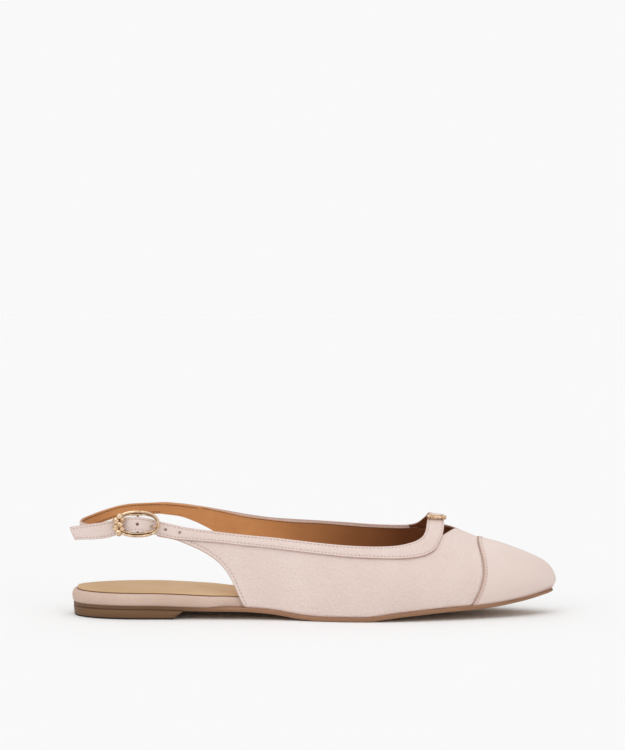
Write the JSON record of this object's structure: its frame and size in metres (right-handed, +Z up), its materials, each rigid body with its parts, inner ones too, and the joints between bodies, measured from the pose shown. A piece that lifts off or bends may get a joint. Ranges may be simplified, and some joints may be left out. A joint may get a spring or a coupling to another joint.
{
  "type": "sling back flat",
  "caption": "Pointed toe sling back flat for the right foot, with a buckled heel strap, a topline band that crosses the instep, a toe cap and a low heel block",
  "frame": {"origin": "Middle of the bounding box on the floor plane, under the arch", "axes": "+X points to the toe, +Y to the inner (medial) side of the foot, +Z up"},
  "size_m": [0.2655, 0.0777, 0.0591],
  "materials": {
    "blush_leather": "pebbled, satin",
    "rand_leather": "smooth, satin",
    "sock_leather": "smooth, matte",
    "sole_resin": "satin",
    "stacked_heel": "satin, layered",
    "pale_gold": "polished"
  },
  "bodies": {
    "root": {"outsole": "sole_resin", "heel_block": "stacked_heel", "footbed": "rand_leather", "insole": "sock_leather", "upper": "blush_leather", "toe_cap": "blush_leather", "lateral_strap": "blush_leather", "medial_strap": "blush_leather", "buckle_frame": "pale_gold", "buckle_prong": "pale_gold", "instep_bar": "pale_gold"}
  },
  "joints": []
}
